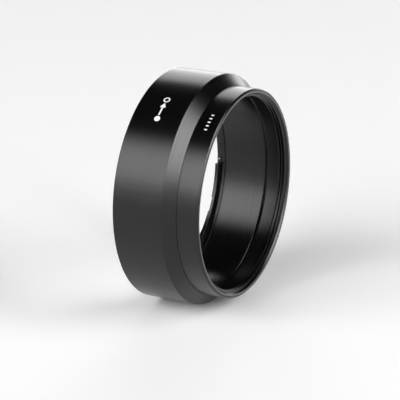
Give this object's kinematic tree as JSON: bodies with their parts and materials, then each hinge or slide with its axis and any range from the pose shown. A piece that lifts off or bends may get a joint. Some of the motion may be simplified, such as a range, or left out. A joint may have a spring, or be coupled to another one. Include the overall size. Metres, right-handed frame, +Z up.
{
  "type": "lens hood",
  "caption": "Black anodised adapter-tube lens hood: bayonet with inward lugs at the rear, coned barrel, filter thread in front.",
  "frame": {"origin": "on the optical axis, in the plane of the bayonet's seating face", "axes": "+X along the optical axis towards the subject, +Z up, +Y to the left seen from in front of the lens"},
  "size_m": [0.0213, 0.0576, 0.0576],
  "materials": {
    "anodised_black": "satin black anodised, fine turned",
    "matt_black": "matt black anodised inside, against stray light",
    "black_chrome": "black-oxide steel screws",
    "steel_pin": "bright ground steel"
  },
  "bodies": {
    "root": {"rear_barrel": "anodised_black", "filter_ring": "anodised_black", "inner_sleeve": "matt_black", "bayonet_ring": "anodised_black", "stop_pin": "steel_pin", "bayonet_screws": "black_chrome"}
  },
  "joints": []
}
